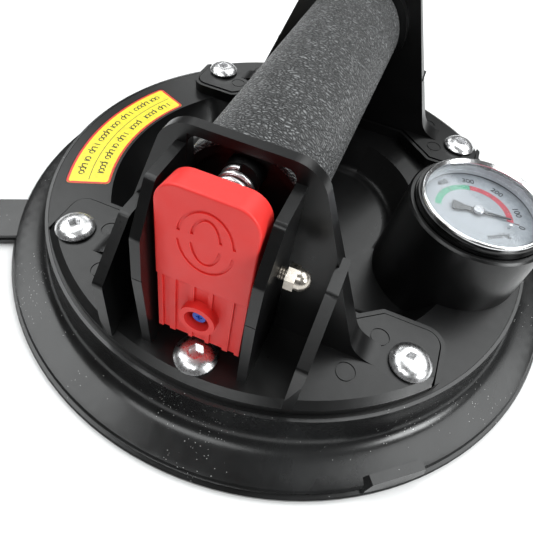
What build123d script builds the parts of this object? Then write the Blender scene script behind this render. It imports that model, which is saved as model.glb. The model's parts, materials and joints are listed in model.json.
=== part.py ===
from build123d import *
import os
from math import cos, pi, radians, sin, tan

# Hand vacuum lifter: a rubber-faced plate, a carrying handle that is also the pump,
# a red release lever in front and a vacuum gauge at the side.
# Frame: millimetres, +Z up, origin at the centre of the sealing plane, handle along Y,
# release lever at -Y, pump plunger at +Y, gauge at +X.

PARTS = "parts"
os.makedirs(PARTS, exist_ok=True)

# Rubber pad
PAD_R = 105.0
LAND_R = 97.0
MEMBRANE_LOW = 2.5
MEMBRANE_TOP = 4.5
PAD_INNER_R = 90.0
PAD_LIP_LOW = 2.2
PAD_LIP_EDGE_R = 104.6
PAD_RIM_R = 89.0
PAD_RIM_TOP = 19.6
PAD_WALL = ((89.2, 15.0), (89.7, 12.2), (90.5, 9.2), (92.3, 6.8), (95.8, 5.5))
PAD_SHELF = (103.0, 4.7)
PAD_GROOVE = ((103.6, 4.2), (103.6, 2.7), (103.0, 2.5), (103.6, 2.3))
PAD_FACE_RIBS = (30.0, 50.0, 70.0)
FACE_RIB_WIDTH = 2.0
FACE_RIB_LOW = 2.0
TAB_ANGLES = (27.5, 207.5)
TAB_WIDTH = 20.0
TAB_END_R = 123.0
TAB_ROOT = 5.0
TAB_LOW = 0.8
TAB_SPLIT = 2.5
TAB_TOP = 4.4
TAB_STEP = 0.6
LUG_ANGLES = (128.0, 308.0)
LUG_WIDTH = 19.0
LUG_INNER_R = 100.6
LUG_OUTER_R = 103.5
LUG_FACE_FOOT = (104.4, 2.8)
LUG_END_SLOPE = 2.2
LUG_TOP = 6.6

# Base plate
PLATE_R = 87.9
PLATE_GAP = 0.1
DECK_Z = 19.5
BEAD_R = 86.1
BEAD_LOW = 10.0
BEAD_TOP = 12.1
BOWL_R = 67.3
BOWL_HALF_Y = 42.4
BOWL_FLOOR_Z = 8.0
BOWL_TAPER = 30.0
BOWL_FLOOR_FILLET = 5.0
BOWL_CORNER_R = 12.0
SHOULDER_CENTRE = (9.0, 6.0)
SHOULDER_R = 38.0
SHOULDER_FROM = (13.0, -3.0)
POCKET_INNER_R = 72.5
POCKET_OUTER_R = 84.5
POCKET_TOP = 15.0
POCKET_RIBS = 16
POCKET_RIB_WIDTH = 2.5
RIM_GAP = 0.5
RIM_WIDTH = 1.4
RIM_TOP = 23.7
RIM_CLIP_R = 87.0

# Caution label and its recess
LABEL_INNER_R = 68.3
LABEL_OUTER_R = 84.4
LABEL_START = 156.0
LABEL_END = 205.5
LABEL_RECESS = 0.6
LABEL_THICK = 0.5
LABEL_CORNER_R = 2.0
LABEL_EDGE_GAP = 0.15

# Feet of the two handle legs
FOOT_R = 87.0
FOOT_TOP = 24.1
FOOT_BEVEL = (2.3, 1.2)
FOOT_HALF_X = 63.5
FOOT_INNER_Y = 42.3
FOOT_CORNER_R = 4.5
FOOT_KNEE = 45.6
FOOT_WAIST = 31.5
FRONT_INNER_Y = 52.9
REAR_INNER_Y = 55.0
SCREW_X = 56.0
SCREW_Y = 55.5
SCREW_END_Y = 79.0
MARK_R = 3.0
MARK_LINE = 0.35
MARK_DEPTH = 0.3
FRONT_MARKS = ((46.0, 51.0), (39.5, 66.0))
REAR_MARKS = ((46.0, 50.0), (41.0, 65.0))

# M6 flanged button-head screws and their inserts
SCREW_R = 3.0
SCREW_LOW = 9.8
HEAD_R = 6.25
HEAD_BASE_R = 5.7
HEAD_EDGE_LOW = 0.5
HEAD_EDGE_TOP = 1.0
HEAD_BREAK = (5.2, 2.05)
HEAD_CROWN = (3.9, 2.6)
HEAD_TOP = 2.85
HEAD_FLAT_R = 2.5
SOCKET_AF = 4.0
SOCKET_DEPTH = 2.1
INSERT_R = 4.2
INSERT_LOW = 9.5
BOSS_R = 7.0
HOLE_GAP = 0.05

# Handle legs
LEG_TOP = 80.0
LEG_TOP_HALF = 17.97
LEG_SLOPE = 0.398
LEG_TOP_CORNER = 9.6
LEG_FLARE_R = 10.0
LEG_FLARE_REACH = 52.0
LEG_BURY = 2.6
LEG_THICK_TOP = 2.8
LEG_THICK_FOOT = 7.8
FRONT_BACK = -52.9
FRONT_FACE = FRONT_BACK - LEG_THICK_TOP
REAR_FACE = 55.0
REAR_BACK = REAR_FACE + LEG_THICK_TOP
WINDOW_HALF = 12.9
WINDOW_LOW = 48.5
WINDOW_TOP = 77.6
WINDOW_CORNER = 3.0
EAR_IN = 13.0
EAR_OUT = 15.6
EAR_SPLIT_Z = 52.0
EAR_SPLIT_WIDTH = 0.25
EAR_SPLIT_DEPTH = 0.4
EAR_EDGE = ((-69.0, 75.0), (-77.5, 64.0), (-79.6, 52.0), (-81.0, 23.0))
RIB_THICK = 3.0
RIB_LEFT = -27.1
RIB_RIGHT = 26.8
RIB_EDGE = ((-66.0, 55.8), (-81.2, 44.3), (-83.3, 23.0))
REAR_RIB_OUT = 31.5
REAR_RIB_EDGE = ((-64.0, 47.0), (-77.0, 40.0), (-82.0, 23.0))
REAR_INNER_EDGE = ((-66.0, 41.0), (-81.0, 25.0), (-81.0, 23.0))
RIB_CORNER = 2.0

# Handle: grip, pump barrel and what moves in it, all round one axis along Y
HANDLE_Z = 60.3
GRIP_R = 17.3
GRIP_REAR = 50.5
GRIP_CORNER = 0.8
COLLAR_R = 19.6
SOCKET_R = 15.95
SOCKET_LENGTH = 8.0
BARREL_R = 14.0
BORE_R = 11.5
BARREL_FRONT = -50.0
BARREL_REAR = 60.0
HEAD_FLANGE_R = 14.0
PUMP_HEAD_FRONT = -51.5
PUMP_HEAD_BACK = -40.0
HEAD_PORT_DROP = 7.8
PORT_R = 1.8
SEAT_R = 4.7
VALVE_FLAP = 0.8
INLET_FLAP_R = 2.9
INLET_FLAP_UP = 0.6
EXHAUST_PORT_R = 1.2
EXHAUST_FLAP_R = 2.4
EXHAUST_UP = 1.0
CAP_FRONT = 57.9
CAP_REAR = 66.0
CAP_R = 16.6
CAP_FLUTES = 24
CAP_FLUTE_R = 0.7
CAP_PLAIN = 2.0
CAP_CORNER = 1.5
PISTON_FRONT = 18.0
PISTON_REAR = 27.0
PISTON_R = 11.2
SEAL_R = 11.45
SEAL_FRONT = 21.0
SEAL_REAR = 24.0
SEAL_DEPTH = 2.0
ROD_R = 3.5
ROD_SEAT = 4.0
ROD_REAR = 93.0
PLUNGER_R = 9.5
PLUNGER_WALL = 1.8
PLUNGER_FRONT = 58.0
PLUNGER_REAR = 97.0
PLUNGER_FIT = 0.08
PLUNGER_HEAD = 7.0
PLUNGER_CORNER = 2.5
RING_FRONT = 68.0
RING_REAR = 72.0
RING_DEPTH = 0.8
PUMP_SPRING_R = 8.6
PUMP_SPRING_WIRE = 0.7
PUMP_SPRING_TURNS = 9

# Release lever, drawn in its own plane: across, up the face, out of the face
PIVOT_Y = -67.0
PIVOT_Z = 58.0
LEVER_LEAN = 7.7
PAD_HALF = 12.0
PAD_FRONT = 7.35
PAD_BACK = 0.5
PAD_LOW = -7.7
PAD_HIGH = 19.6
PAD_CORNER = 6.0
PAD_EDGE = 0.6
SKIRT_HALF = 11.65
SKIRT_LOW = -28.2
SKIRT_DROP = 0.3
SKIRT_FRONT = 6.2
SKIRT_BACK = 2.5
SKIRT_RIB_FRONT = 6.9
SKIRT_RIBS = ((2.4, 1.1), (7.6, 1.6), (11.0, 1.3))
VALVE_UP = -18.0
VALVE_BOSS_R = 4.9
VALVE_BOSS_FRONT = 8.8
VALVE_HOLE_R = 3.4
VALVE_HOLE_FLOOR = 4.4
VALVE_THROUGH_R = 1.9
LEVER_HUB_R = 5.0
PIVOT_R = 1.5
PIVOT_FIT = 0.05
RING_MARKS = ((0.35, 7.1, 6.9, 8.8), (0.4, 7.4, 3.75, 6.6))
RING_MARK_WIDTH = 0.7
RING_MARK_DEPTH = 0.4
RING_MARK_GAP = 2.4
NUT_AF = 5.5
NUT_TURN = 30.0
NUT_IN = 17.5
NUT_OUT = 19.8
NUT_DOME = 2.6
NUT_CROWN = 20.5
BOLT_HEAD_R = 2.85
BOLT_HEAD = 1.8
BOLT_SOCKET_AF = 2.0
BOLT_SOCKET_DEPTH = 1.0
LEVER_SPRING_Z = 69.5
LEVER_SPRING_R = 3.8
LEVER_SPRING_WIRE = 0.7
LEVER_SPRING_FRONT = -64.6
LEVER_SPRING_BACK = -56.0
LEVER_SPRING_TURNS = 4
SPIGOT_R = 2.3
SPIGOT_LENGTH = 4.0

# Valve block, nozzle and air passages
PORT_Y = -61.0
BLOCK_HALF = 8.0
BLOCK_FRONT = -66.0
BLOCK_TOP = 48.0
NOZZLE_R = 3.0
NOZZLE_BORE = 1.2
NOZZLE_IN = -7.0
NOZZLE_TIP = 1.8
PLUG_BACK = 1.95
PLUG_STEP = 2.45
PLUG_FRONT = 7.3
PLUG_R = 3.3
PLUG_NOSE_R = 1.8
PLUG_SLOT = 0.45
ELBOW_R = 2.2
ELBOW_BEND = 3.2
ORING_R = 3.4
ORING_WIRE = 0.8
FILTER_R = 5.0
FILTER_THICK = 1.5
PAD_PORT_R = 4.0

# Vacuum gauge
GAUGE_X = 62.2
GAUGE_Y = -3.2
HOUSING_FOOT_R = 24.9
HOUSING_TOP_R = 23.1
HOUSING_BORE_R = 21.4
HOUSING_TOP = 43.0
HOUSING_FLOOR = 2.5
HOUSING_CHAMFER = 0.6
CASE_R = 21.2
CASE_WALL = 1.7
CASE_LOW = 22.2
CASE_TOP = 43.9
CASE_RIM = (20.15, 20.8)
CASE_RIM_TOP = 45.3
LEDGE_LOW = 37.7
LEDGE_TOP = 40.2
LEDGE_WIDTH = 1.5
DIAL_R = 19.3
DIAL_THICK = 0.6
GASKET_R = 18.7
GASKET_THICK = 0.5
SPACER_R = 18.3
BEZEL_R = 20.1
BEZEL_SEAT_R = 19.4
BEZEL_LIP_R = 18.5
BEZEL_TOP = 46.6
BEZEL_ROUND = 0.8
BEZEL_LIP = 0.35
LENS_R = 19.3
LENS_LOW = 44.2
LENS_TOP = 45.4
NEEDLE_LOW = 41.4
NEEDLE_THICK = 0.35
NEEDLE_ANGLE = 6.0
NEEDLE_TIP = ((10.4, 0.22), (10.8, 0.0))
NEEDLE_ROOT_HALF = 0.75
NEEDLE_WEIGHT = ((0, 0.9), (-4.4, 1.0), (-5.2, 1.5), (-8.3, 2.2))
NEEDLE_CORNER = 0.6
ARBOR_R = 0.6
HUB_R = 1.9
HUB_TOP = 42.5
STOP_PIN_R = 0.5
STOP_PIN_AT = (10.6, -12.0)
STOP_PIN_TOP = 42.2
HUB_EDGE = 0.4
GEAR_MODULE = 0.4
TOOTH_TIP = 0.6
TOOTH_ROOT = 1.1
TOOTH_SHARES = (0.22, 0.1)
PIVOT_PIN_R = 0.8
PIVOT_HUB_R = 2.0
FAN_INNER_R = 1.4
ARBOR_OVERHANG = 0.8
PINION_TEETH = 8
SECTOR_TEETH = 72
SECTOR_ANGLE = 120.0
SECTOR_FROM = -6.0
SECTOR_TO = 27.0
GEAR_LOW = 33.4
GEAR_TOP = 35.0
MOVEMENT_LOW = 36.2
MOVEMENT_TOP = 37.4
BOURDON_IN = 12.3
BOURDON_OUT = 14.3
BOURDON_LOW = 25.8
BOURDON_TOP = 31.0
BOURDON_START = -60.0
BOURDON_END = 190.0
STEM_R = 5.0
STEM_THREAD_R = 4.0
STEM_LOW = 8.0
STEM_ARM = 5.0
STEM_BORE_END = 2.0

LEVER_PLANE = Plane(
    origin=(0, PIVOT_Y, PIVOT_Z),
    x_dir=(1, 0, 0),
    z_dir=(0, -cos(radians(LEVER_LEAN)), sin(radians(LEVER_LEAN))),
)


# ---------------------------------------------------------------- drawing helpers


def polar(radius, angle):
    """A point at a radius and an angle in degrees from +X."""
    return (radius * cos(radians(angle)), radius * sin(radians(angle)))


def outline(*points):
    """A flat face with straight sides through the points, in order."""
    return make_face(Polyline(*points, close=True))


def rounded(face, radius, *places):
    """The face with the corners nearest the places rounded."""
    corners = [face.vertices().sort_by_distance(place)[0] for place in places]
    return fillet(corners, radius)


def ring(outer, inner):
    """A flat ring."""
    return Circle(outer) - Circle(inner)


def sector(inner, outer, start, end):
    """A stretch of a flat ring between two angles in degrees."""
    far = 3 * outer
    steps = 4
    fan = [polar(far, start + (end - start) * k / steps) for k in range(steps + 1)]
    return ring(outer, inner) & outline((0, 0), *fan)


def upright(face, low, high):
    """A face in X and Y, raised between two heights."""
    return extrude(Pos(0, 0, low) * face, amount=high - low)


def across(face, low, high):
    """A face in Y and Z, thickened along X."""
    return extrude(Plane.YZ.offset(low) * face, amount=high - low)


def along(face, low, high):
    """A face in X and Z, thickened along Y."""
    return extrude(Plane.XZ.offset(-high) * face, amount=high - low)


def turned(face):
    """A face in radius and height, turned round Z."""
    return revolve(Plane.XZ * face, Axis.Z)


def handle_bar(outer, low, high):
    """A round bar on the handle's axis."""
    return along(Pos(0, HANDLE_Z) * Circle(outer), low, high)


def handle_tube(outer, inner, low, high):
    """A tube on the handle's axis."""
    return along(Pos(0, HANDLE_Z) * ring(outer, inner), low, high)


def lever_block(half, low, high, back, front, centre=0.0):
    """A block in the lever's own plane."""
    face = Pos(centre, (low + high) / 2) * Rectangle(2 * half, high - low)
    return LEVER_PLANE * extrude(Pos(0, 0, back) * face, amount=front - back)


def lever_bar(radius, back, front, up=VALVE_UP):
    """A round bar square to the lever's face."""
    return LEVER_PLANE * extrude(Pos(0, up, back) * Circle(radius), amount=front - back)


def coil(start, length, radius, wire, turns):
    """A round-wire compression spring along +Y."""
    path = Helix(length / turns, length, radius, center=start, direction=(0, 1, 0))
    section = Plane(origin=path @ 0, z_dir=path % 0) * Circle(wire)
    return sweep(section, path, is_frenet=True)


def screw_places():
    """Where the six foot screws stand."""
    corners = [(x, y) for x in (-SCREW_X, SCREW_X) for y in (-SCREW_Y, SCREW_Y)]
    return corners + [(0, -SCREW_END_Y), (0, SCREW_END_Y)]


def gauge_at(shape):
    """A shape drawn round the gauge's own axis, put in its place."""
    return Pos(GAUGE_X, GAUGE_Y, 0) * shape


def save(shape, name):
    """Write one sub-part."""
    export_step(shape, f"{PARTS}/{name}.step")


# ---------------------------------------------------------------- pad, plate and label


def pad_profile():
    """Half section of the rubber pad, from its axis out to the sealing lip."""
    inner = PLATE_R + PLATE_GAP
    under = Polyline(
        (0, MEMBRANE_TOP), (0, MEMBRANE_LOW), (PAD_INNER_R, MEMBRANE_LOW), (LAND_R - TAB_ROOT, PAD_LIP_LOW),
        (LAND_R, 0), (PAD_LIP_EDGE_R, 0), (PAD_R, 0.4), (PAD_R, 1.8), (PAD_LIP_EDGE_R, PAD_LIP_LOW),
        *reversed(PAD_GROOVE), PAD_SHELF,
    )
    wall = Spline(PAD_SHELF, *reversed(PAD_WALL), (PAD_RIM_R, PAD_RIM_TOP))
    seat = Polyline(
        (PAD_RIM_R, PAD_RIM_TOP), (inner, PAD_RIM_TOP), (inner, BEAD_TOP), (BEAD_R, BEAD_TOP),
        (BEAD_R, BEAD_LOW), (inner, BEAD_LOW), (inner, MEMBRANE_TOP), (0, MEMBRANE_TOP),
    )
    return make_face(under + wall + seat)


def pull_tab():
    """A flat ear of two layers, for peeling the lip off the surface."""
    root_r = PAD_R - TAB_ROOT
    length = TAB_END_R - root_r
    lower = Pos(root_r + length / 2, 0) * Rectangle(length, TAB_WIDTH)
    short = length - TAB_STEP
    upper = Pos(root_r + short / 2, 0) * Rectangle(short, TAB_WIDTH - 2 * TAB_STEP)
    return upright(lower, TAB_LOW, TAB_SPLIT) + upright(upper, TAB_SPLIT, TAB_TOP)


def edge_lug():
    """A raised block on the lip's edge, with a steep outer face and one sloping end."""
    half = LUG_WIDTH / 2
    side = outline(
        (LUG_INNER_R, PAD_LIP_LOW), (PAD_LIP_EDGE_R, PAD_LIP_LOW), LUG_FACE_FOOT,
        (LUG_OUTER_R, LUG_TOP), (LUG_INNER_R, LUG_TOP),
    )
    end = outline(
        (-half, PAD_LIP_LOW), (half, PAD_LIP_LOW), (half, LUG_TOP),
        (LUG_END_SLOPE - half, LUG_TOP), (-half, LUG_TOP - LUG_END_SLOPE),
    )
    block = along(side, -half, half) & across(end, LUG_INNER_R, PAD_R)
    return block & upright(Circle(PAD_LIP_EDGE_R), PAD_LIP_LOW, LUG_TOP)


def rubber_pad():
    """The moulded pad: sealing lip, thin membrane, bead, tabs and lugs."""
    pad = turned(pad_profile())
    for radius in PAD_FACE_RIBS:
        rib_plan = ring(radius + FACE_RIB_WIDTH / 2, radius - FACE_RIB_WIDTH / 2)
        pad += upright(rib_plan, FACE_RIB_LOW, MEMBRANE_TOP)
    for angle in TAB_ANGLES:
        pad += Rot(0, 0, angle) * pull_tab()
    for angle in LUG_ANGLES:
        pad += Rot(0, 0, angle) * edge_lug()
    pad -= upright(Pos(0, PORT_Y) * Circle(PAD_PORT_R), 0, MEMBRANE_TOP)
    return pad - gauge_at(upright(Circle(PAD_PORT_R), 0, MEMBRANE_TOP))


def foot_outline(inner_y):
    """Plan of a foot on the +Y side: outer arc, square ends and a stepped inner edge."""
    far = PAD_R
    side = (
        (FOOT_WAIST, inner_y), (FOOT_KNEE, FOOT_INNER_Y), (FOOT_HALF_X, FOOT_INNER_Y), (FOOT_HALF_X, far)
    )
    half = outline(*((-x, y) for x, y in reversed(side)), *side)
    corners = [(side * FOOT_HALF_X, FOOT_INNER_Y) for side in (-1, 1)]
    return rounded(half & Circle(FOOT_R), FOOT_CORNER_R, *corners)


def foot_slab(plan):
    """A foot's slab, its outer edge bevelled."""
    width, drop = FOOT_BEVEL
    bevel = outline(
        (FOOT_R - width, FOOT_TOP), (FOOT_R, FOOT_TOP - drop), (FOOT_R + width, FOOT_TOP - drop),
        (FOOT_R + width, FOOT_TOP + drop), (FOOT_R - width, FOOT_TOP + drop),
    )
    return upright(plan, DECK_Z, FOOT_TOP) - turned(bevel)


def front_foot_outline():
    """The front foot's plan, on the -Y side."""
    return mirror(foot_outline(FRONT_INNER_Y), about=Plane.XZ)


def foot_rim(plan):
    """The low wall that frames a foot on the deck."""
    wall = offset(plan, RIM_GAP + RIM_WIDTH) - offset(plan, RIM_GAP)
    return upright(wall & Circle(RIM_CLIP_R), DECK_Z, RIM_TOP)


def draft(radius):
    """A bowl radius at the floor, inside the same radius at the deck."""
    return radius - (DECK_Z - BOWL_FLOOR_Z) * tan(radians(BOWL_TAPER))


def soft_floor(hollow):
    """The hollow with its floor's edge rounded."""
    return fillet(hollow.faces().sort_by(Axis.Z)[0].edges(), BOWL_FLOOR_FILLET)


def bowl():
    """The dished hollow in the deck, with its shoulder towards the gauge."""
    depth = DECK_Z - BOWL_FLOOR_Z
    align = (Align.CENTER, Align.CENTER, Align.MIN)
    hollow = Cone(draft(BOWL_R), BOWL_R, depth, align=align)
    floor_y = draft(BOWL_HALF_Y)
    hollow &= across(
        outline((-floor_y, 0), (floor_y, 0), (BOWL_HALF_Y, depth), (-BOWL_HALF_Y, depth)), -BOWL_R, BOWL_R
    )
    slants = hollow.edges().filter_by(lambda edge: abs((edge @ 0).Z - (edge @ 1).Z) > depth / 2)
    hollow = soft_floor(fillet(slants, BOWL_CORNER_R))
    shoulder = upright(Pos(*SHOULDER_FROM) * Rectangle(BOWL_R, BOWL_R, align=Align.MIN), 0, depth)
    pocket = soft_floor(Cone(draft(SHOULDER_R), SHOULDER_R, depth, align=align))
    shoulder -= Pos(*SHOULDER_CENTRE, 0) * pocket
    return Pos(0, 0, BOWL_FLOOR_Z) * (hollow - shoulder)


def underside_pockets():
    """The coring under the rim, between ribs and screw bosses."""
    cores = upright(ring(POCKET_OUTER_R, POCKET_INNER_R), MEMBRANE_TOP, POCKET_TOP)
    for k in range(POCKET_RIBS):
        angle = 360 * (k + 0.5) / POCKET_RIBS
        rib = Rot(0, 0, angle) * Pos(PLATE_R / 2, 0) * Rectangle(PLATE_R, POCKET_RIB_WIDTH)
        cores -= upright(rib, MEMBRANE_TOP, POCKET_TOP)
    for place in screw_places():
        cores -= upright(Pos(*place) * Circle(BOSS_R), MEMBRANE_TOP, POCKET_TOP)
    return cores


def label_face(gap=0.0):
    """Plan of the curved caution label."""
    lean = 360 * gap / (2 * pi * LABEL_INNER_R)
    face = sector(LABEL_INNER_R + gap, LABEL_OUTER_R - gap, LABEL_START + lean, LABEL_END - lean)
    return fillet(face.vertices(), LABEL_CORNER_R - gap)


def base_plate():
    """The stiff moulded plate that carries everything else."""
    plate = upright(Circle(PLATE_R), MEMBRANE_TOP, DECK_Z)
    plate -= upright(ring(PLATE_R + 1, BEAD_R - PLATE_GAP), BEAD_LOW - PLATE_GAP, BEAD_TOP + PLATE_GAP)
    plate -= bowl()
    plate -= underside_pockets()
    plate += gauge_at(upright(Circle(BOSS_R + 1), MEMBRANE_TOP, DECK_Z))
    plate += foot_rim(foot_outline(REAR_INNER_Y)) + foot_rim(front_foot_outline())
    plate -= upright(label_face(), DECK_Z - LABEL_RECESS, DECK_Z)
    for place in screw_places():
        plate -= upright(Pos(*place) * Circle(INSERT_R + HOLE_GAP), INSERT_LOW, DECK_Z)
    port = Pos(0, PORT_Y)
    plate -= upright(port * Circle(PORT_R), MEMBRANE_TOP, DECK_Z)
    plate -= upright(port * Circle(ORING_R + ORING_WIRE + HOLE_GAP), DECK_Z - 2 * ORING_WIRE, DECK_Z)
    plate -= upright(port * Circle(FILTER_R + HOLE_GAP), MEMBRANE_TOP, MEMBRANE_TOP + FILTER_THICK)
    return plate - gauge_at(upright(Circle(STEM_THREAD_R + HOLE_GAP), MEMBRANE_TOP, DECK_Z))


def caution_label():
    """The printed label, lying in its recess."""
    low = DECK_Z - LABEL_RECESS
    return upright(label_face(LABEL_EDGE_GAP), low, low + LABEL_THICK)


def port_oring():
    """The seal round the air port, between the front foot and the plate."""
    section = Pos(ORING_R, DECK_Z - ORING_WIRE) * Circle(ORING_WIRE)
    return Pos(0, PORT_Y, 0) * turned(section)


def filter_disc():
    """The sintered disc over the air port's lower mouth."""
    return upright(Pos(0, PORT_Y) * Circle(FILTER_R), MEMBRANE_TOP, MEMBRANE_TOP + FILTER_THICK)


# ---------------------------------------------------------------- foot screws


def screw_head():
    """A wide low head standing on z = 0: thin edge, sloping band, flatter crown and hex socket."""
    sides = Polyline(
        (0, HEAD_TOP), (0, 0), (HEAD_BASE_R, 0), (HEAD_R, HEAD_EDGE_LOW), (HEAD_R, HEAD_EDGE_TOP), HEAD_BREAK
    )
    crown = ThreePointArc(HEAD_BREAK, HEAD_CROWN, (HEAD_FLAT_R, HEAD_TOP))
    head = turned(make_face(sides + crown + Line((HEAD_FLAT_R, HEAD_TOP), (0, HEAD_TOP))))
    socket = RegularPolygon(SOCKET_AF / 2, 6, major_radius=False)
    return head - upright(socket, HEAD_TOP - SOCKET_DEPTH, HEAD_TOP)


def foot_screws():
    """The six screws that hold the two feet."""
    screw = Pos(0, 0, FOOT_TOP) * screw_head() + upright(Circle(SCREW_R), SCREW_LOW, FOOT_TOP)
    return Compound(children=[Pos(*place) * screw for place in screw_places()])


def foot_inserts():
    """The six threaded brass inserts in the plate."""
    insert = upright(ring(INSERT_R, SCREW_R + HOLE_GAP), INSERT_LOW, DECK_Z)
    return Compound(children=[Pos(*place) * insert for place in screw_places()])


# ---------------------------------------------------------------- handle legs


def leg_panel(inner_y):
    """The upright end panel of a leg on the -Y side, thicker towards its foot."""
    foot_half = LEG_TOP_HALF + LEG_SLOPE * (LEG_TOP - FOOT_TOP)
    bottom = FOOT_TOP - LEG_BURY
    side = (
        (LEG_FLARE_REACH, bottom), (LEG_FLARE_REACH, FOOT_TOP),
        (foot_half, FOOT_TOP), (LEG_TOP_HALF, LEG_TOP),
    )
    face = outline(*side, *((-x, z) for x, z in reversed(side)))
    face = rounded(face, LEG_TOP_CORNER, (-LEG_TOP_HALF, LEG_TOP), (LEG_TOP_HALF, LEG_TOP))
    face = rounded(face, LEG_FLARE_R, (-foot_half, FOOT_TOP), (foot_half, FOOT_TOP))
    outer_y = inner_y - LEG_THICK_FOOT
    wedge = outline(
        (inner_y, bottom), (inner_y, LEG_TOP), (inner_y - LEG_THICK_TOP, LEG_TOP), (outer_y, FOOT_TOP),
        (outer_y, bottom),
    )
    return along(face, outer_y, inner_y) & across(wedge, -LEG_FLARE_REACH, LEG_FLARE_REACH)


def rib(root, edge, low, high):
    """A rib on the outer side of a leg at -Y, kept inside the foot's round edge."""
    top = edge[0]
    foot = edge[-1]
    face = rounded(outline((root, foot[1]), (root, top[1]), *edge), RIB_CORNER, top, edge[1])
    return across(face, low, high) & upright(Circle(FOOT_R), foot[1], LEG_TOP)


def rib_pair(root, edge, inner, outer):
    """Two ribs, one each side of the middle."""
    return rib(root, edge, inner, outer) + rib(root, edge, -outer, -inner)


def foot_marks(places, side):
    """Shallow round moulding marks in the top of a foot."""
    marks = Part()
    for x in (-1, 1):
        for place in places:
            face = Pos(x * place[0], side * place[1]) * ring(MARK_R, MARK_R - MARK_LINE)
            marks += upright(face, FOOT_TOP - MARK_DEPTH, FOOT_TOP)
    return marks


def foot_holes():
    """Clearance holes for all the foot screws."""
    holes = Part()
    for place in screw_places():
        holes += upright(Pos(*place) * Circle(SCREW_R + 2 * HOLE_GAP), DECK_Z, FOOT_TOP)
    return holes


def ear_splits():
    """Fine parting lines across the ears' front edges."""
    edge_y = EAR_EDGE[2][0] + EAR_SPLIT_DEPTH
    line = Pos(edge_y - EAR_SPLIT_DEPTH, EAR_SPLIT_Z) * Rectangle(2 * EAR_SPLIT_DEPTH, EAR_SPLIT_WIDTH)
    return across(line, EAR_IN, EAR_OUT) + across(line, -EAR_OUT, -EAR_IN)


def front_leg():
    """The front leg: foot, panel with its window, lever ears, ribs and grip socket."""
    leg = foot_slab(front_foot_outline())
    leg += leg_panel(FRONT_BACK)
    room = Rectangle(2 * WINDOW_HALF, FOOT_R, align=(Align.CENTER, Align.MAX))
    leg -= upright(Pos(0, FRONT_FACE) * room, FOOT_TOP, WINDOW_TOP)
    middle = (FRONT_FACE + FRONT_BACK) / 2
    leg += rib_pair(middle, EAR_EDGE, EAR_IN, EAR_OUT)
    leg += rib(middle, RIB_EDGE, RIB_LEFT, RIB_LEFT + RIB_THICK)
    leg += rib(middle, RIB_EDGE, RIB_RIGHT, RIB_RIGHT + RIB_THICK)
    leg += handle_tube(SOCKET_R, BARREL_R + HOLE_GAP, FRONT_BACK, FRONT_BACK + SOCKET_LENGTH)
    window = Pos(0, (WINDOW_LOW + WINDOW_TOP) / 2) * RectangleRounded(
        2 * WINDOW_HALF, WINDOW_TOP - WINDOW_LOW, WINDOW_CORNER
    )
    leg -= along(window, FRONT_FACE, FRONT_BACK)
    leg -= foot_holes() + foot_marks(FRONT_MARKS, -1) + ear_splits()
    leg -= across(Pos(PIVOT_Y, PIVOT_Z) * Circle(PIVOT_R + PIVOT_FIT), -EAR_OUT, EAR_OUT)
    return leg - upright(Pos(0, PORT_Y) * Circle(PORT_R), DECK_Z, FOOT_TOP)


def rear_leg():
    """The rear leg: foot, panel, stiffening ribs and the collar behind the grip."""
    middle = (REAR_FACE + REAR_BACK) / 2
    panel = leg_panel(-REAR_FACE) + rib_pair(-middle, REAR_INNER_EDGE, EAR_IN, EAR_OUT)
    panel += rib_pair(-middle, REAR_RIB_EDGE, REAR_RIB_OUT - RIB_THICK, REAR_RIB_OUT)
    leg = foot_slab(foot_outline(REAR_INNER_Y)) + mirror(panel, about=Plane.XZ)
    leg -= handle_bar(CAP_R + HOLE_GAP, REAR_BACK, CAP_REAR)
    leg += handle_bar(COLLAR_R, GRIP_REAR, REAR_FACE)
    leg += handle_bar(SOCKET_R, GRIP_REAR - SOCKET_LENGTH / 2, GRIP_REAR)
    leg -= handle_bar(BARREL_R + HOLE_GAP, GRIP_REAR - SOCKET_LENGTH, REAR_BACK)
    return leg - (foot_holes() + foot_marks(REAR_MARKS, 1))


# ---------------------------------------------------------------- handle and pump


def grip_sleeve():
    """The soft grip over the pump barrel, counterbored for the legs' sockets."""
    sleeve = handle_bar(GRIP_R, FRONT_BACK, GRIP_REAR)
    sleeve = fillet(sleeve.edges().filter_by(GeomType.CIRCLE), GRIP_CORNER)
    sleeve -= handle_bar(BARREL_R + HOLE_GAP, FRONT_BACK, GRIP_REAR)
    sleeve -= handle_bar(SOCKET_R + HOLE_GAP, FRONT_BACK, FRONT_BACK + SOCKET_LENGTH + HOLE_GAP)
    return sleeve - handle_bar(SOCKET_R + HOLE_GAP, GRIP_REAR - SOCKET_LENGTH / 2 - HOLE_GAP, GRIP_REAR)


def pump_barrel():
    """The tube that is both the handle's core and the pump's cylinder."""
    return handle_tube(BARREL_R, BORE_R, BARREL_FRONT, BARREL_REAR)


def pump_head():
    """The plug in the front of the barrel, with the air port and the lever spring's seat."""
    head = handle_bar(HEAD_FLANGE_R, PUMP_HEAD_FRONT, BARREL_FRONT)
    seat_front = LEVER_SPRING_BACK + LEVER_SPRING_WIRE
    head += along(Pos(0, LEVER_SPRING_Z) * Circle(SEAT_R), seat_front, PUMP_HEAD_FRONT)
    head += handle_bar(BORE_R - HOLE_GAP, BARREL_FRONT, PUMP_HEAD_BACK)
    port = Pos(0, HANDLE_Z - HEAD_PORT_DROP) * Circle(PORT_R)
    return head - along(port, PUMP_HEAD_FRONT, PUMP_HEAD_BACK)


def inlet_valve():
    """The rubber flap over the pump head's inner port."""
    flap = Pos(0, HANDLE_Z - HEAD_PORT_DROP + INLET_FLAP_UP) * Circle(INLET_FLAP_R)
    return along(flap, PUMP_HEAD_BACK, PUMP_HEAD_BACK + VALVE_FLAP)


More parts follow.
